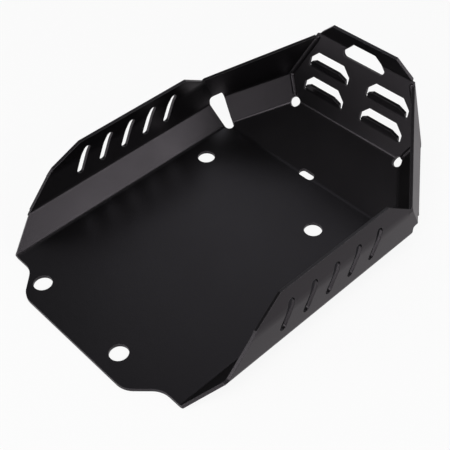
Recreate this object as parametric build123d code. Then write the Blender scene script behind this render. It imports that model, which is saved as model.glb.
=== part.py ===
from build123d import *
import os
from math import sin, cos, tan, radians

# Motorcycle skid plate: a tray folded from one aluminium sheet and closed
# at its corners with welds. Sizes are in mm.
# X runs forward to the nose, Y to the left, Z up. The origin is on the
# centre line, under the floor, where the rear edge of the folds begins.
# Heights below are above the floor's upper face unless they say otherwise.

# The sheet
sheet = 3.0
bend_inside = 4.0             # inside radius of the folds, but for the two shallow ones
rise_bend_inside = 15.0       # the same where the front floor rises
strip_bend_inside = 25.0      # and where the strip leans in

# Floor, seen from above
half_floor = 112.3            # centre line to the floor's fold, inside corner
floor_length = 266.4          # rear edge to the fold where the front floor rises
rear_tab_reach = 22.5         # rear mounting tab, past the rear edge
rear_tab_half = 68.5          # half its width at the very rear, before rounding
rear_tab_round = 20.0

# Rear sides: a sloping facet, an upright wall and a strip that leans in
facet_fold = 47.7             # degrees turned up from the floor
rear_facet = 28.1             # facet width, corner to corner
wall_rise = 30.0              # upright wall, corner to corner
strip_lean = 14.7             # degrees turned in from the wall
strip_width = 20.7            # strip, corner to top edge
facet_back = 29.7             # rear end of the facet's flat, at its upper edge
wall_foot_back = 33.4         # rear end of the wall's flat, at its lower edge
wall_back = 57.7              # the same at its upper edge
strip_foot_back = 64.0        # rear end of the strip's flat, at its lower edge
top_back = 94.9               # the same at the top edge
strip_front = floor_length - 14.3    # front end of the strip's flat, at its lower edge
top_front = strip_front - 26.4       # the same at the top edge

# Front floor and front sides
front_rise = 23.4             # degrees the front floor rises
front_floor = 62.8            # its length up the slope
front_half_rear = half_floor + 1.4   # half its width at the floor fold
front_half_nose = front_half_rear - 46.4    # half its width at the nose fold
front_facet_fold = 45.9       # degrees turned up from the front floor
front_facet = 29.1            # facet width, corner to corner
front_wall_fold = 45.6        # degrees turned from facet to front wall
front_top_rear = 54.6         # height of the front wall's top edge, rear end
front_top_nose = 100.6        # height of the same edge at the nose

# Nose panel and its top flange
nose_fold = 53.0              # degrees turned up from the front floor
nose_length = 80.3            # corner to corner
flange_fold = 27.0            # degrees turned back from the nose
flange_height = 17.5
flange_step = 1.0             # the flange starts this far in from the nose's top corners
flange_slant = 17.0           # how far its ends slant in

# Mounting holes: two pairs, both a little to the left of the centre line,
# each with its x, the distance between its holes and its middle's offset
mount_hole = 17.2
rear_pair_x = -2.0
rear_pair_spacing = 107.6
rear_pair_offset = 15.6
front_pair_x = floor_length - 50.2
front_pair_spacing = 146.3
front_pair_offset = 17.6

# Drain slot across the floor fold
drain_length = 17.4
drain_ahead = 0.9             # its middle, ahead of the fold
drain_width = 8.2

# Side slots, leaning forward, across the fold under the strip
slot_count = 5
slot_pitch = 26.9
slot_first = 98.3             # x of the first slot's middle
slot_height = 45.9            # height of the middle
slot_length = 31.0
slot_width = 7.4
slot_lean = 26.0              # degrees from upright

# Relief window in each corner between the rear and front sides, cut square
# to each panel before folding
foot_radius = 4.5             # round foot, in the floor fold
foot_inset = 2.6              # its centre, in from the floor's side fold
foot_ahead = 0.8              # its centre, ahead of the floor fold
foot_reach = 6.2              # how far it is carried outward, into the side's window
foot_flare = 0.5              # how much it widens forward, beyond the centre
window_rear_low = floor_length + foot_ahead - foot_radius   # x of the rear facet's edge, at the floor
window_rear_high = floor_length - 6.5     # the same at the wall
window_front_low = 6.6        # front facet's rear edge, along its fold, at the floor
window_front_high = 7.7       # the same at the front wall
window_top = 6.0              # the window's top above the wall fold, on the rear wall
window_top_front = 5.2        # the same on the front wall, at the window's front edge
window_round_rear = 3.2       # rounding of its upper corners
window_round_front = 1.2

# Relief hole in each lower corner of the nose
corner_relief = 10.5
corner_relief_back = 1.9      # its centre, back from the corner along the front floor

# Nose louvres, two wide and two high: an opening and a tab bent in below it
louvre_side = 36.6            # centre line to a louvre's middle
louvre_half = 25.4            # half the opening's width
louvre_height = 17.6
louvre_corner = 9.0           # slanted upper corners of the opening
louvre_round = 1.6
louvre_low = 43.1             # upper row, bend corner up to the tab's hinge
louvre_pitch = 26.7           # row to row
tab_gap = 2.9                 # clear width beside the tab
tab_length = 8.6
tab_corner_wide, tab_corner_high = 7.4, 5.4    # slanted free corners
tab_bend = 30.0               # degrees bent in
tab_bend_inside = 6.0

# Top slot, across the fold between nose and flange
top_slot_half = 25.2
top_slot_low = 10.2           # below the fold
top_slot_high = 6.8           # above the fold
top_slot_corner = 11.8        # slanted upper corners
top_slot_round = 4.8          # rounded lower corners

# Welds inside the closed corners
weld_bead = 2.4               # bead radius

reach = 40.0                  # how far the front panels are drawn past a corner before trimming
seam_reach = 6.0              # the same for the rear sides, past the floor fold


def setback(angle, inside=bend_inside):
    """Distance from a fold's sharp inside corner to where its curve starts."""
    return inside * tan(radians(angle) / 2)


def along(frame, u=0.0, v=0.0, w=0.0):
    """Point at u along the fold, v across the sheet and w towards the inside."""
    return frame.origin + frame.x_dir * u + frame.y_dir * v + frame.z_dir * w


def panel(frame, corners):
    """Flat piece of sheet whose inside face lies on the frame."""
    outline = make_face(Polyline(*corners, close=True))
    return extrude(frame * outline, amount=sheet, dir=-frame.z_dir)


def fold(frame, v, u_from, u_to, angle, inside=bend_inside):
    """Curved piece of sheet at v, and the frame of the panel after it."""
    centre = along(frame, u_from, v, inside)
    across = Plane(origin=centre, x_dir=frame.y_dir, z_dir=frame.x_dir)
    inner = CenterArc((0, 0), inside, -90, angle)
    outer = CenterArc((0, 0), inside + sheet, -90, angle)
    ring = make_face([inner, outer, Line(inner @ 0, outer @ 0), Line(inner @ 1, outer @ 1)])
    curve = extrude(across * ring, amount=u_to - u_from, dir=frame.x_dir)
    turn = radians(angle)
    start = along(frame, 0, v + inside * sin(turn), inside * (1 - cos(turn)))
    normal = frame.z_dir * cos(turn) - frame.y_dir * sin(turn)
    return curve, Plane(origin=start, x_dir=frame.x_dir, z_dir=normal)


def slanted(curve, before, after, v, u_before, u_after):
    """Curved piece with its rear end cut on a slant, from u_before to u_after."""
    start, end = along(before, u_before, v), along(after, u_after)
    square = (before.z_dir + after.z_dir).normalized()
    return split(curve, bisect_by=Plane(origin=start, z_dir=(end - start).cross(square)), keep=Keep.TOP)


def meet(a, b, c):
    """Point shared by the inside faces of three panels."""
    na, nb, nc = a.z_dir, b.z_dir, c.z_dir
    da, db, dc = na.dot(a.origin), nb.dot(b.origin), nc.dot(c.origin)
    volume = na.dot(nb.cross(nc))
    return (nb.cross(nc) * da + nc.cross(na) * db + na.cross(nb) * dc) / volume


def trim(solid, frame):
    """Remove everything outside a panel's outer face."""
    outer = Plane(origin=frame.origin - frame.z_dir * sheet, z_dir=-frame.z_dir)
    return split(solid, bisect_by=outer, keep=Keep.BOTTOM)


def flipped(frame):
    """The same panel on the other side of the centre line."""
    o, x, z = frame.origin, frame.x_dir, frame.z_dir
    return Plane(origin=(o.X, -o.Y, o.Z), x_dir=(x.X, -x.Y, x.Z), z_dir=(z.X, -z.Y, z.Z))


def bead(start, end):
    """Weld bead along an inside corner, rounded at both ends."""
    line = end - start
    rod = Plane(origin=start, z_dir=line) * Cylinder(
        weld_bead, line.length, align=(Align.CENTER, Align.CENTER, Align.MIN))
    return rod + Pos(*start) * Sphere(weld_bead) + Pos(*end) * Sphere(weld_bead)


# Floor with its rear tab
floor_side = half_floor - setback(facet_fold)
floor_end = floor_length - setback(front_rise, rise_bend_inside)
tab_slope = rear_tab_half + rear_tab_reach
floor_outline = Polyline(
    (0, floor_side), (0, tab_slope), (-rear_tab_reach, rear_tab_half),
    (-rear_tab_reach, -rear_tab_half), (0, -tab_slope), (0, -floor_side),
    (floor_end, -floor_side), (floor_end, floor_side), close=True)
floor_face = make_face(floor_outline)
tab_corners = [c for c in floor_face.vertices() if abs(c.Y) < tab_slope + 1 and c.X < 1]
floor_face = fillet(tab_corners, rear_tab_round)
plate = extrude(floor_face, amount=sheet)

# Rear side, left: floor fold, facet, fold, wall, fold, strip
wall_fold = 90 - facet_fold
facet_run = rear_facet - setback(facet_fold) - setback(wall_fold)
wall_run = wall_rise - setback(wall_fold) - setback(strip_lean, strip_bend_inside)
strip_run = strip_width - setback(strip_lean, strip_bend_inside)
side_end = floor_length + seam_reach

floor_frame = Plane(origin=(0, floor_side, sheet), x_dir=(1, 0, 0), z_dir=(0, 0, 1))
floor_curve, facet = fold(floor_frame, 0, 0, side_end, facet_fold)
facet_flat = panel(facet, [(0, 0), (facet_back, facet_run), (side_end, facet_run), (side_end, 0)])
wall_curve, wall = fold(facet, facet_run, facet_back, side_end, wall_fold)
wall_curve = slanted(wall_curve, facet, wall, facet_run, facet_back, wall_foot_back)
wall_flat = panel(wall, [
    (wall_foot_back, 0), (wall_back, wall_run), (side_end, wall_run), (side_end, 0)])
strip_curve, strip = fold(wall, wall_run, wall_back, side_end, strip_lean, strip_bend_inside)
strip_curve = slanted(strip_curve, wall, strip, wall_run, wall_back, strip_foot_back)
strip_flat = panel(strip, [
    (strip_foot_back, 0), (top_back, strip_run), (top_front, strip_run), (strip_front, 0)])
rear_side = floor_curve + facet_flat + wall_curve + wall_flat + strip_curve + strip_flat

# Front floor and nose, folded forward along the centre line
centre_frame = Plane(origin=(floor_end, 0, sheet), x_dir=(0, -1, 0), z_dir=(0, 0, 1))
rise_curve, front = fold(centre_frame, 0, -floor_side, floor_side, front_rise, rise_bend_inside)
front_start = setback(front_rise, rise_bend_inside)
front_run = front_floor - front_start - setback(nose_fold)

# The line where the front floor folds up into the front facet
fold_rear = along(front, -front_half_rear, -front_start)
fold_nose = along(front, -front_half_nose, front_floor - front_start)
fold_line = (fold_nose - fold_rear).normalized()
outward = front.z_dir.cross(fold_line)
side_start = fold_rear - outward * setback(front_facet_fold)
side_frame = Plane(origin=side_start, x_dir=fold_line, z_dir=front.z_dir)


def front_edge(v):
    """Half width of the flat front floor at v up its slope."""
    start = front.to_local_coords(side_frame.origin)
    ahead = front.to_local_coords(along(side_frame, 100))
    return -(start.X + (ahead.X - start.X) * (v - start.Y) / (ahead.Y - start.Y))


front_flat = panel(front, [
    (-front_edge(0), 0), (front_edge(0), 0),
    (front_edge(front_run), front_run), (-front_edge(front_run), front_run)])
nose_half = front_half_nose + reach
nose_curve, nose = fold(front, front_run, -nose_half, nose_half, nose_fold)
nose_run = nose_length - setback(nose_fold) - setback(flange_fold)
nose_flat = panel(nose, [(-nose_half, 0), (nose_half, 0), (nose_half, nose_run), (-nose_half, nose_run)])

# Front side, left: fold, facet, fold, wall with its rising top edge
side_length = (fold_nose - fold_rear).length
front_facet_run = front_facet - setback(front_facet_fold) - setback(front_wall_fold)
u_rear, u_nose = -reach, side_length + reach
front_curve, front_side = fold(side_frame, 0, u_rear, u_nose, front_facet_fold)
front_facet_flat = panel(front_side, [
    (u_rear, 0), (u_nose, 0), (u_nose, front_facet_run), (u_rear, front_facet_run)])
front_wall_curve, front_wall = fold(front_side, front_facet_run, u_rear, u_nose, front_wall_fold)

top_rear = meet(wall, front_wall, Plane(origin=(0, 0, front_top_rear + sheet), z_dir=(0, 0, 1)))
top_nose = meet(nose, front_wall, Plane(origin=(0, 0, front_top_nose + sheet), z_dir=(0, 0, 1)))
a, b = front_wall.to_local_coords(top_rear), front_wall.to_local_coords(top_nose)
top_slope = (b.Y - a.Y) / (b.X - a.X)
front_wall_flat = panel(front_wall, [
    (u_rear, 0), (u_nose, 0),
    (u_nose, b.Y + top_slope * (u_nose - b.X)), (u_rear, max(1.0, a.Y + top_slope * (u_rear - a.X)))])
front_group = front_curve + front_facet_flat + front_wall_curve + front_wall_flat

# Top flange, between the nose's top corners
flange_half = top_nose.Y - flange_step
flange_curve, flange = fold(nose, nose_run, -flange_half, flange_half, flange_fold)
flange_run = flange_height - setback(flange_fold)
flange_flat = panel(flange, [
    (-flange_half, 0), (flange_half, 0),
    (flange_half - flange_slant, flange_run), (flange_slant - flange_half, flange_run)])

# Weld beads inside the closed corners
lower_corner = meet(front, front_side, nose)
middle_corner = meet(front_side, front_wall, nose)
up_nose = (middle_corner - lower_corner).normalized()
up_wall = (top_nose - middle_corner).normalized()
beads = (
    bead(lower_corner + up_nose * (corner_relief / 2), middle_corner)
    + bead(middle_corner, top_nose - up_wall * weld_bead))

# Join, then trim every panel to the outer faces of its neighbours
left = rear_side + front_group + beads
plate = plate + left + mirror(left, about=Plane.XZ)
plate = plate + rise_curve + front_flat + nose_curve + nose_flat + flange_curve + flange_flat
for side_panel in (facet, wall, strip, front_side, front_wall):
    plate = trim(plate, side_panel)
    plate = trim(plate, flipped(side_panel))
for centre_panel in (front, nose, flange):
    plate = trim(plate, centre_panel)

# Mounting holes and drain slot
for x, spacing, offset in (
        (rear_pair_x, rear_pair_spacing, rear_pair_offset),
        (front_pair_x, front_pair_spacing, front_pair_offset)):
    for side in (-1, 1):
        plate -= Pos(x, offset + side * spacing / 2, sheet / 2) * Cylinder(mount_hole / 2, 4 * sheet)
drain = make_face(SlotOverall(drain_length, drain_width, rotation=90).edges())
plate -= Pos(floor_length + drain_ahead, 0, -sheet) * extrude(drain, amount=4 * sheet)

# Side slots, cut straight across from side to side
slot_outline = SlotOverall(slot_length, slot_width, rotation=90 - slot_lean)
for i in range(slot_count):
    middle = (slot_first + i * slot_pitch, 0, slot_height + sheet)
    at = Plane(origin=middle, x_dir=(1, 0, 0), z_dir=(0, -1, 0))
    plate -= extrude(at * slot_outline, amount=2 * half_floor, both=True)

# Relief windows between the rear and front sides
lap = setback(front_wall_fold, bend_inside + sheet)    # so two cuts overlap across a fold
spare = 0.5                                   # cut depth beyond the sheet's faces
ahead = window_rear_low + 25                  # well past the corner, along the rear side
behind = window_front_low - 25                # the same, back along the front side


def through(frame, corners, rounded=None, radius=0):
    """Cut square to a panel, just deep enough for its sheet, with one corner rounded."""
    face = make_face(Polyline(*corners, close=True))
    if rounded:
        face = fillet(face.vertices().sort_by_distance((*rounded, 0))[0], radius)
    raised = Plane(origin=along(frame, w=spare), x_dir=frame.x_dir, z_dir=frame.z_dir)
    return extrude(raised * face, amount=sheet + 2 * spare, dir=-frame.z_dir)


seam = meet(wall, front_wall, Plane(origin=along(wall, v=window_top), z_dir=(0, 0, 1)))
seam = front_wall.to_local_coords(seam)
window = through(facet, [
    (window_rear_low, -lap), (window_rear_low, 0), (window_rear_high, facet_run),
    (window_rear_high, facet_run + lap), (ahead, facet_run + lap), (ahead, -lap)])
window += through(wall, [
    (window_rear_high, -lap), (window_rear_high, window_top), (ahead, window_top), (ahead, -lap)],
    rounded=(window_rear_high, window_top), radius=window_round_rear)
window += through(front_side, [
    (window_front_low, -1.5 * lap), (window_front_low, 0), (window_front_high, front_facet_run),
    (window_front_high, front_facet_run + lap), (behind, front_facet_run + lap), (behind, -1.5 * lap)])
window += through(front_wall, [
    (window_front_high, -lap), (window_front_high, window_top_front), (seam.X, seam.Y),
    (behind, seam.Y), (behind, -lap)],
    rounded=(window_front_high, window_top_front), radius=window_round_front)
foot_x, foot_y = floor_length + foot_ahead, half_floor - foot_inset
window += Pos(foot_x, foot_y, 0) * Cylinder(foot_radius, 6 * sheet)
foot_box = Box(2 * foot_radius, foot_reach, 6 * sheet, align=(Align.CENTER, Align.MIN, Align.CENTER))
window += Pos(foot_x, foot_y, 0) * foot_box + Pos(foot_x + foot_flare, foot_y, 0) * foot_box
plate -= window
plate -= mirror(window, about=Plane.XZ)

# Relief holes at the nose's lower corners
outside = -(front.z_dir + front_side.z_dir + nose.z_dir).normalized()
relief_at = lower_corner - front.y_dir * corner_relief_back
relief = Plane(origin=relief_at, z_dir=outside) * Cylinder(corner_relief / 2, 8 * sheet)
plate -= relief
plate -= mirror(relief, about=Plane.XZ)

# Louvres: cut the opening, then put the bent tab back
tab_half = louvre_half - tab_gap
for row in range(2):
    hinge = louvre_low - row * louvre_pitch - setback(nose_fold)
    for side in (-1, 1):
        middle = side * louvre_side
        top = hinge + louvre_height
        opening = make_face(Polyline(
            (middle - louvre_half, hinge), (middle - louvre_half, top - louvre_corner),
            (middle - louvre_half + louvre_corner, top), (middle + louvre_half - louvre_corner, top),
            (middle + louvre_half, top - louvre_corner), (middle + louvre_half, hinge), close=True))
        opening = fillet([c for c in opening.vertices() if c.Y > hinge + 1], louvre_round)
        opening = extrude(nose * opening, amount=3 * sheet, both=True)
        curve, tab = fold(nose, hinge, middle - tab_half, middle + tab_half, tab_bend, tab_bend_inside)
        tab_run = tab_length - setback(tab_bend, tab_bend_inside)
        shoulder = tab_run - tab_corner_high
        flat = panel(tab, [
            (middle - tab_half, 0), (middle + tab_half, 0), (middle + tab_half, shoulder),
            (middle + tab_half - tab_corner_wide, tab_run), (middle - tab_half + tab_corner_wide, tab_run),
            (middle - tab_half, shoulder)])
        plate = plate - opening + curve + flat

# Top slot, cut square to the nose, with its upper corners in the flange
slot_middle = nose_run + setback(flange_fold)
slant_from = top_slot_high - top_slot_corner
slot_face = make_face(Polyline(
    (-top_slot_half, slot_middle - top_slot_low), (-top_slot_half, slot_middle + slant_from),
    (-top_slot_half + top_slot_corner, slot_middle + top_slot_high),
    (top_slot_half - top_slot_corner, slot_middle + top_slot_high),
    (top_slot_half, slot_middle + slant_from), (top_slot_half, slot_middle - top_slot_low), close=True))
slot_face = fillet([c for c in slot_face.vertices() if c.Y < slot_middle - top_slot_low + 1], top_slot_round)
plate -= extrude(nose * slot_face, amount=3 * sheet, both=True)

plate.label = "skid_plate"

os.makedirs("parts", exist_ok=True)
export_step(plate, "parts/skid_plate.step")
print("skid_plate", "solids", len(plate.solids()), "volume cm3", round(plate.volume / 1000, 1))
print("box", plate.bounding_box())
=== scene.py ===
# %% [markdown]
# # Motorcycle skid plate
# A skid plate is the tray that hangs under a motorcycle's engine and takes the
# knocks from stones. This one is folded from a single sheet of aluminium, welded
# at its corners and coated with black powder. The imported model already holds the
# folded sheet, so this lesson only adds what a folding machine doesn't make: the
# ripples of the welds, the skin of the coat, and a plain studio around the part.
# Everything is in metres: X runs forward to the nose, Y to the left, Z up.

import math

import bpy
import numpy as np
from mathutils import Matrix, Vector


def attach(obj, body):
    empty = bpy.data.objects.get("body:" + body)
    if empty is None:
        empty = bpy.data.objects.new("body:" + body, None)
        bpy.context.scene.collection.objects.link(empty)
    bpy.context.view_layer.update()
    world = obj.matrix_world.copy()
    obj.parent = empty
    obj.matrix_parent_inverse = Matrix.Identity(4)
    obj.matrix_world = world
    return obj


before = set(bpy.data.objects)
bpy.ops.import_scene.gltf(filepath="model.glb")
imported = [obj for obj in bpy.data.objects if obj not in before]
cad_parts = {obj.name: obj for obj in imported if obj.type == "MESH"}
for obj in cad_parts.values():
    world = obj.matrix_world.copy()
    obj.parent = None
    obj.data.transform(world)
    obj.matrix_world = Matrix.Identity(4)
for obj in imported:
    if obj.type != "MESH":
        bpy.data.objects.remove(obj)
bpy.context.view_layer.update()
scene = bpy.context.scene
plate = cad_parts["skid_plate"]

# %% [markdown]
# ## A helper for material nodes
# A procedural material is a small graph. Building it by hand in the editor isn't
# repeatable, so these helpers add a node, set its values and wire it up in one
# line each. That keeps the recipe for the coat short enough to read.

# %% Node helpers


def new_material(name):
    """A new material that holds its output and one Principled shader, joined."""
    material = bpy.data.materials.new(name)
    material.use_nodes = True
    nodes = material.node_tree.nodes
    nodes.clear()
    output = nodes.new("ShaderNodeOutputMaterial")
    shader = nodes.new("ShaderNodeBsdfPrincipled")
    material.node_tree.links.new(shader.outputs["BSDF"], output.inputs["Surface"])
    return material, shader


def add_node(tree, kind, values=None, links=None, **settings):
    """Add a node: settings go on the node, values on its inputs, links into its inputs."""
    node = tree.nodes.new(kind)
    for key, value in settings.items():
        setattr(node, key, value)
    for key, value in (values or {}).items():
        node.inputs[key].default_value = value
    for key, socket in (links or {}).items():
        tree.links.new(socket, node.inputs[key])
    return node


def ramp(tree, factor, stops):
    """A colour ramp: stops are pairs of position and grey level, or of position and colour."""
    node = add_node(tree, "ShaderNodeValToRGB", links={"Fac": factor})
    elements = node.color_ramp.elements
    while len(elements) < len(stops):
        elements.new(0.5)
    for element, (position, colour) in zip(elements, stops):
        element.position = position
        element.color = (*colour, 1) if isinstance(colour, tuple) else (colour, colour, colour, 1)
    return node


print("helpers", [f.__name__ for f in (new_material, add_node, ramp)])

# %% [markdown]
# ## Black powder coat: its colour
# Powder is sprayed on dry and baked until it flows together. The base is nearly
# black, a little cloudy, and freckled by the grain. Along a sharp cut edge the colour
# turns to a lighter grey line: partly the thinner coat where the melt draws back, and
# partly a painted highlight standing in for the light that a rounded edge catches. The
# line could be painted along each edge by hand, but a Bevel node finds the edges by
# itself: near one, its rounded normal turns away from the flat face's own, and the more it turns, the
# lighter the line.

# %% Colour of the coat
coat_dark = (0.0020, 0.0020, 0.0022)     # the clouds run between these two
coat_light = (0.0028, 0.0028, 0.0030)
thin_coat_and_highlight = (0.040, 0.040, 0.042)        # painted edge highlight on the line along a sharp edge, partly also the thinner coat there
speck_dark = 0.85                        # share of the colour where the grain is darkest
cloud_low, cloud_high = 0.3, 0.7         # levels of the cloud noise between which the colour changes
grain_low, grain_high = 0.35, 0.75       # the same for the grain noise
thin_and_highlight_from, thin_and_highlight_full = 0.985, 0.90       # cosine of the angle at which the painted highlight line starts and is full


def coat_colour(tree, cloud, grain, rounded):
    """Colour = a mix of coat_dark and coat_light by the clouds, times speck_dark to 1 by the grain.
    It turns to thin_coat_and_highlight, a painted edge highlight that also stands for the thinner coat,
    as the cosine between the rounded and the flat normal falls from thin_and_highlight_from to
    thin_and_highlight_full."""
    tint = ramp(tree, cloud, [(cloud_low, coat_dark), (cloud_high, coat_light)])
    speck = ramp(tree, grain, [(grain_low, speck_dark), (grain_high, 1.0)])
    body = add_node(tree, "ShaderNodeMix", {"Factor": 1.0},
                    {"A": tint.outputs["Color"], "B": speck.outputs["Color"]},
                    data_type="RGBA", blend_type="MULTIPLY")
    flat = add_node(tree, "ShaderNodeNewGeometry").outputs["Normal"]
    cosine = add_node(tree, "ShaderNodeVectorMath", links={0: rounded, 1: flat}, operation="DOT_PRODUCT")
    # mask of the painted edge highlight, which also marks the thinner coat: 1 on a sharp edge, 0 on the
    # flat
    thin_and_highlight_mask = ramp(tree, cosine.outputs["Value"], [(thin_and_highlight_full, 1.0), (thin_and_highlight_from, 0.0)])
    colour = add_node(tree, "ShaderNodeMix", {"B": (*thin_coat_and_highlight, 1)},
                      {"Factor": thin_and_highlight_mask.outputs["Color"], "A": body.outputs["Result"]}, data_type="RGBA")
    return colour.outputs["Result"]


# the third colour is the painted edge highlight, which also stands for the thinner coat
print("coat from", coat_dark, "to", coat_light, "and", thin_coat_and_highlight, "where it is thin")

# %% [markdown]
# ## Black powder coat: its skin
# The powder never levels quite flat, so the skin keeps a fine pebble about a
# millimetre across, and over that a grain of a few tenths. Almost all that the
# eye sees is the reflection, spread wide by that skin and a touch violet when
# seen square on. An image would show its pixels close up, so the pebble is made
# from noise in the part's own coordinates.

# %% Skin of the coat
pebble_size = 0.0012                     # width of one pebble
grain_size = 0.0003                      # width of one grain
grain_share = 0.3                        # height of the grain against the pebble's
skin_depth, skin_strength = 0.0002, 0.25
edge_round = 0.0006                      # radius of the rounding that a sharp edge seems to have


def noise(tree, place, waves, detail, roughness):
    """The grey level of noise with that many waves to the metre, at a point of the part."""
    values = {"Scale": waves, "Detail": detail, "Roughness": roughness}
    return add_node(tree, "ShaderNodeTexNoise", values, {"Vector": place}).outputs["Fac"]


def skin_normal(tree, pebble, grain, rounded):
    """Normal of a skin whose height is the pebble plus grain_share times the grain."""
    height = add_node(tree, "ShaderNodeMath", {1: grain_share}, {0: grain, 2: pebble},
                      operation="MULTIPLY_ADD")
    bump = add_node(tree, "ShaderNodeBump", {"Strength": skin_strength, "Distance": skin_depth},
                    {"Height": height.outputs["Value"], "Normal": rounded})
    return bump.outputs["Normal"]


print("pebble mm", 1000 * pebble_size, "grain mm", 1000 * grain_size, "edge mm", 1000 * edge_round)

# %% [markdown]
# ## Black powder coat: putting it on
# Colour and skin come together in one Principled shader. The coat isn't a metal,
# so its reflection comes from the refractive index of the baked resin, about 1.5.
# One material serves the sheet and the welds, as one spraying does in the shop.

# %% Make the coat
rough, rough_give = 0.32, 0.03           # satin, a little duller in one cloud than in the next
sheen_tint = (1.0, 0.91, 1.0)            # the touch of violet
resin_index = 1.5
cloud_waves = 14.0                       # clouds to the metre


def powder_coat(name):
    """Satin powder coat. Roughness = rough, give or take rough_give by the clouds."""
    material, shader = new_material(name)
    tree = material.node_tree
    place = add_node(tree, "ShaderNodeTexCoord").outputs["Object"]
    pebble = noise(tree, place, waves=1 / pebble_size, detail=2.0, roughness=0.5)
    grain = noise(tree, place, waves=1 / grain_size, detail=1.0, roughness=0.5)
    cloud = noise(tree, place, waves=cloud_waves, detail=4.0, roughness=0.6)
    rounded = add_node(tree, "ShaderNodeBevel", {"Radius": edge_round}, samples=6).outputs["Normal"]
    sheen = ramp(tree, cloud, [(cloud_low, rough - rough_give), (cloud_high, rough + rough_give)])
    tree.links.new(coat_colour(tree, cloud, grain, rounded), shader.inputs["Base Color"])
    tree.links.new(sheen.outputs["Color"], shader.inputs["Roughness"])
    tree.links.new(skin_normal(tree, pebble, grain, rounded), shader.inputs["Normal"])
    shader.inputs["IOR"].default_value = resin_index
    shader.inputs["Specular Tint"].default_value = (*sheen_tint, 1)
    return material


coat = powder_coat("powder_coat_black")
for slot in plate.material_slots:
    slot.material = coat
print("coat on", len(plate.material_slots), "slots")

# %% [markdown]
# ## Weld beads: the tube
# Where the nose meets the sides, the folded flaps are welded along the inside
# corner. A weld pool freezes in overlapping scales, like a pushed-over stack of
# coins. A plain cylinder would look like a rubber cord, so each bead is a tube
# with an oval section, flatter than it is wide, that swells and drops once per
# scale, and whose scales bow forward in the middle. The tube is one grid of
# points: one way runs along the seam, the other around it, and both are worked
# out as whole arrays.

# %% Points of a bead
bead_wide, bead_high = 0.0031, 0.00245   # half the section's width and height
scale_length = 0.0016                    # one frozen scale along the seam
swell = 0.00013                          # how far a scale stands proud
bow = 0.0006                             # how far a scale's middle runs ahead
crest = 0.7                              # under 1, so a scale is highest before its middle


def bead_points(start, end, outward, along=240, around=32):
    """Tube from start to end with an oval section. Its half-width across the seam is bead_wide and its
    half-height outward is bead_high. Both grow by swell times the sine of (pi times the phase to the
    power crest). The phase runs from 0 to 1 along each scale: it is the remainder of (distance + bow
    times the sine of the turn) over scale_length. Both ends close to a point along a quarter ellipse."""
    length = np.linalg.norm(end - start)
    forward = (end - start) / length
    out = outward - forward * np.dot(outward, forward)
    out /= np.linalg.norm(out)
    side = np.cross(out, forward)
    distance = length * np.linspace(0.0, 1.0, along)[:, None]
    turn = np.linspace(0.0, 2 * np.pi, around, endpoint=False)[None, :]
    phase = ((distance + bow * np.sin(turn)) / scale_length) % 1.0
    scales = swell * np.sin(np.pi * phase ** crest)
    to_end = np.clip(np.minimum(distance, length - distance) / bead_high, 0, 1)
    cap = np.sqrt(1 - (1 - to_end) ** 2)
    across = ((bead_wide + scales) * cap * np.cos(turn))[..., None] * side
    rise = ((bead_high + scales) * cap * np.sin(turn))[..., None] * out
    return start + forward * distance[..., None] + across + rise


print("scales per cm", round(0.01 / scale_length, 1))

# %% [markdown]
# ## Weld beads: the mesh
# A grid of points becomes a mesh by joining each point to its neighbours. The
# grid closes on itself around the tube, so the last column joins the first. At
# both ends the ring has shrunk to a point, so one fan of triangles closes it.

# %% Mesh of a bead


def tube_mesh(name, points):
    """Closed mesh from rings of points. Face (i, j) joins points j and j + 1 of ring i to those of
    ring i + 1, counted around, and the first and last rings become one point each."""
    rows, columns, _ = points.shape
    verts = np.concatenate([points[1:-1].reshape(-1, 3), [points[0].mean(0), points[-1].mean(0)]])
    first, last = len(verts) - 2, len(verts) - 1
    j = np.arange(columns)
    k = (j + 1) % columns
    ring = columns * np.arange(rows - 3)[:, None]
    quads = np.stack([ring + j, ring + k, ring + columns + k, ring + columns + j], -1).reshape(-1, 4)
    start_fan = np.stack([np.full(columns, first), k, j], -1)
    last_ring = (rows - 3) * columns
    end_fan = np.stack([np.full(columns, last), last_ring + j, last_ring + k], -1)
    mesh = bpy.data.meshes.new(name)
    mesh.from_pydata(verts.tolist(), [], quads.tolist() + start_fan.tolist() + end_fan.tolist())
    mesh.polygons.foreach_set("use_smooth", np.ones(len(mesh.polygons), bool))
    mesh.update()
    return mesh


print("helpers", [f.__name__ for f in (bead_points, tube_mesh)])

# %% [markdown]
# ## Weld beads: laying them
# The left seam turns one corner, so it takes two beads: a lower one between the
# front facet and the nose, and an upper one between the front wall and the nose.
# A bead faces halfway between the two sheets that it joins. It starts clear of
# the round relief hole at the bottom and stops short of the sheet's edge at the
# top. The right seam is the same with Y turned round.

# %% Where the seams run
corner_low = np.array((0.3240, 0.0673, 0.0279))      # front floor, facet and nose meet
corner_middle = np.array((0.3302, 0.0808, 0.0534))   # facet, wall and nose meet
corner_top = np.array((0.3423, 0.0565, 0.1036))      # top of the wall, on the nose
nose_way = np.array((-0.97, 0.0, 0.24))              # the way that the nose's inner face looks
facet_way = np.array((-0.67, -0.58, 0.47))           # the same for the front facet
wall_way = np.array((-0.53, -0.80, -0.26))           # and for the front wall
hole_radius, hole_clear = 0.00525, 0.001             # relief hole, and how clear of it a bead starts
top_clear = 0.0035                                   # how far below the top edge a bead stops


def toward(start, end, distance):
    """The point at that distance from start on the line to end."""
    return start + (end - start) / np.linalg.norm(end - start) * distance


bead_foot = toward(corner_low, corner_middle, hole_radius + hole_clear)
bead_head = toward(corner_top, corner_middle, top_clear)
runs = (("lower", bead_foot, corner_middle, nose_way + facet_way),
        ("upper", corner_middle, bead_head, nose_way + wall_way))
print("runs", [(run[0], "mm", round(1000 * float(np.linalg.norm(run[2] - run[1])), 1)) for run in runs])

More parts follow.
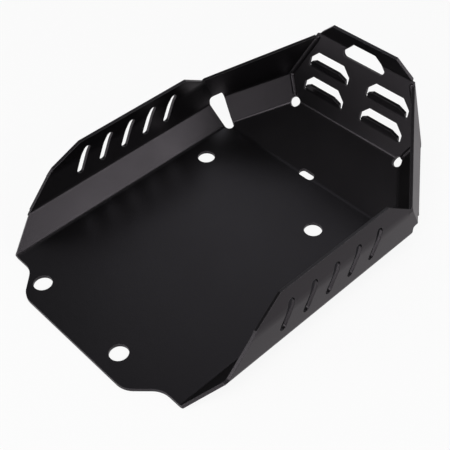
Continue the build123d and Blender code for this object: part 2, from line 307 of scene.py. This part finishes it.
# %% Lay the beads
for side_name, mirror in (("left", np.array((1, 1, 1))), ("right", np.array((1, -1, 1)))):
    for run_name, start, end, outward in runs:
        name = f"weld_{run_name}_{side_name}"
        points = bead_points(start * mirror, end * mirror, outward * mirror)
        bead = bpy.data.objects.new(name, tube_mesh(name, points))
        scene.collection.objects.link(bead)
        bead.data.materials.append(coat)
        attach(bead, "root")
        print(name, "faces", len(bead.data.polygons))

# %% [markdown]
# ## Floor and backdrop
# A product photo is taken on a white sweep, a paper that curves up behind the
# part. Such a curve would stand in the way when the part is looked at from
# behind, so here a large flat plane stands in for it.

# %% Lay the sweep
reach = 6.0
corners = [(-reach, -reach, 0), (reach, -reach, 0), (reach, reach, 0), (-reach, reach, 0)]
floor_mesh = bpy.data.meshes.new("studio_floor")
floor_mesh.from_pydata(corners, [], [(0, 1, 2, 3)])
floor_mesh.update()
floor = bpy.data.objects.new("studio_floor", floor_mesh)
scene.collection.objects.link(floor)
print("floor", 2 * reach, "m square")

# %% [markdown]
# ## White of the sweep
# More light would turn the page white and wash out the part, so the sweep glows
# by itself instead, and only for some rays. The camera sees mostly a glow of
# strength 1, and for the rest real light on a matte surface, so the plate's soft
# shadow stays. Further out the glow takes over, so that the plane's far edge
# doesn't show. Reflections see a glow too, but a dimmer one, because under and
# beside a part the real sweep is shaded, and the coat's undersides show that.

# %% Matte paper and its two glows
near_white, far_white = 0.90, 1.0        # share of glow that the camera sees
fade_from, fade_to = 0.6, 2.5            # distances between which the share grows
mirrored_white = 0.61                    # glow that a reflection sees
mirrored_tint = (1.0, 0.965, 0.99)
paper_grey = 0.90

sweep, matte = new_material("studio_white")
tree = sweep.node_tree
matte.inputs["Base Color"].default_value = (paper_grey, paper_grey, paper_grey, 1)
matte.inputs["Roughness"].default_value = 1.0
matte.inputs["Specular IOR Level"].default_value = 0.0
white = add_node(tree, "ShaderNodeEmission", {"Color": (1, 1, 1, 1), "Strength": 1.0})
shaded = add_node(tree, "ShaderNodeEmission", {"Color": (*mirrored_tint, 1), "Strength": mirrored_white})
print("paper", paper_grey, "glow seen", 1.0, "glow mirrored", mirrored_white)

# %% Which ray sees which
path = add_node(tree, "ShaderNodeLightPath")
mirrored = add_node(tree, "ShaderNodeMath", operation="MAXIMUM",
                    links={0: path.outputs["Is Glossy Ray"], 1: path.outputs["Is Transmission Ray"]})
place = add_node(tree, "ShaderNodeTexCoord").outputs["Object"]
away = add_node(tree, "ShaderNodeVectorMath", links={0: place}, operation="LENGTH")
fade = add_node(tree, "ShaderNodeMapRange",
                {"From Min": fade_from, "From Max": fade_to, "To Min": near_white, "To Max": far_white},
                {"Value": away.outputs["Value"]}, interpolation_type="SMOOTHSTEP")
share = add_node(tree, "ShaderNodeMath", operation="MULTIPLY",
                 links={0: path.outputs["Is Camera Ray"], 1: fade.outputs["Result"]})
shown = add_node(tree, "ShaderNodeMixShader",
                 links={0: share.outputs[0], 1: matte.outputs[0], 2: white.outputs[0]})
both = add_node(tree, "ShaderNodeMixShader",
                links={0: mirrored.outputs[0], 1: shown.outputs[0], 2: shaded.outputs[0]})
output = next(node for node in tree.nodes if node.type == "OUTPUT_MATERIAL")
tree.links.new(both.outputs[0], output.inputs["Surface"])
floor_mesh.materials.append(sweep)
print("sweep nodes", len(tree.nodes))

# %% [markdown]
# ## World
# Round the horizon a studio is pale, and overhead it is dark between the lamps.
# One colour all round would grey the tray's black inner walls, so the world
# dims from the horizon up. The camera itself sees plain white.

# %% Make the world
horizon, overhead = 0.45, 0.08           # strength low down and high up
dim_from, dim_to = 0.10, 0.45            # heights between which it dims, where 1 is straight up

world = bpy.data.worlds.new("studio")
scene.world = world
world.use_nodes = True
tree = world.node_tree
tree.nodes.clear()
way = add_node(tree, "ShaderNodeTexCoord").outputs["Generated"]
height = add_node(tree, "ShaderNodeSeparateXYZ", links={0: way}).outputs["Z"]
dim = add_node(tree, "ShaderNodeMapRange",
               {"From Min": dim_from, "From Max": dim_to, "To Min": horizon, "To Max": overhead},
               {"Value": height}, interpolation_type="SMOOTHSTEP")
path = add_node(tree, "ShaderNodeLightPath")
level = add_node(tree, "ShaderNodeMath", operation="MAXIMUM",
                 links={0: dim.outputs["Result"], 1: path.outputs["Is Camera Ray"]})
sky = add_node(tree, "ShaderNodeBackground", {"Color": (1, 1, 1, 1)}, {"Strength": level.outputs[0]})
add_node(tree, "ShaderNodeOutputWorld", links={"Surface": sky.outputs[0]})
print("world nodes", len(tree.nodes))

# %% [markdown]
# ## Soft boxes
# Black satin paint shows its surroundings more than its own colour, so the light
# is planned as things for it to reflect: for each face, the direction in which it
# mirrors the camera's view was worked out, and how bright that direction must be.
# That gives a box on the right for the sloping facet, low boxes behind for the
# rear edges, the welds and the nose, and a broad weak panel in front for the
# tray's floor. The key light hangs above the camera, where no face mirrors it,
# and brings the whole up to the level at which a colour renders about as it is
# written.

# %% A soft box
middle = Vector((0.16, 0.0, 0.02))       # the boxes face this point inside the tray


def soft_box(name, turn, rise, away, width, height, bright, colour=(1.0, 1.0, 1.0)):
    """Rectangular lamp seen from the middle at the given turn and rise in degrees, away metres off.
    Its power is its brightness times its area times pi, so a brightness of 1 is white."""
    turn, rise = math.radians(turn), math.radians(rise)
    way = Vector((math.cos(rise) * math.cos(turn), math.cos(rise) * math.sin(turn), math.sin(rise)))
    lamp = bpy.data.lights.new(name, "AREA")
    lamp.shape = "RECTANGLE"
    lamp.size, lamp.size_y = width, height
    lamp.energy = math.pi * width * height * bright
    lamp.color = colour
    holder = bpy.data.objects.new(name, lamp)
    holder.location = middle + away * way
    holder.rotation_euler = (-way).to_track_quat("-Z", "Y").to_euler()
    scene.collection.objects.link(holder)
    print(name, "power", round(lamp.energy, 1))


print("boxes face", [round(v, 3) for v in middle])

# %% Hang the soft boxes
soft_box("key_box", turn=-147, rise=66, away=2.4, width=1.6, height=1.6, bright=3.7)
soft_box("right_box", turn=-62, rise=29, away=2.2, width=1.2, height=0.8, bright=3.35)
soft_box("front_panel", turn=41, rise=41, away=2.4, width=1.5, height=1.6, bright=0.50,
         colour=(0.97, 1.0, 1.05))
soft_box("rear_left_box", turn=162, rise=13, away=2.2, width=1.8, height=0.85, bright=3.1)
soft_box("rear_right_box", turn=-150, rise=13, away=2.2, width=0.7, height=0.8, bright=1.8)

# %% [markdown]
# ## Camera
# The photo looks down into the tray from behind and to the right. A camera could
# be aimed by eye, but here the lens and the viewpoint come from a fit of the
# folds, holes and edges, whose real places are known, to where they stand in the
# picture, so the render can be laid over the photo.

# %% Place the camera
viewpoint = (-0.23456, -0.43279, 0.603)
aim_degrees = (44.604, 1.540, -43.634)
lens_mm, sensor_mm = 71.78, 36.0

picture = bpy.data.cameras.new("picture")
picture.lens, picture.sensor_width = lens_mm, sensor_mm
camera = bpy.data.objects.new("picture", picture)
camera.location = viewpoint
camera.rotation_euler = [math.radians(angle) for angle in aim_degrees]
scene.collection.objects.link(camera)
scene.camera = camera
scene.view_settings.view_transform = "Standard"
print("camera at", viewpoint, "lens mm", lens_mm)
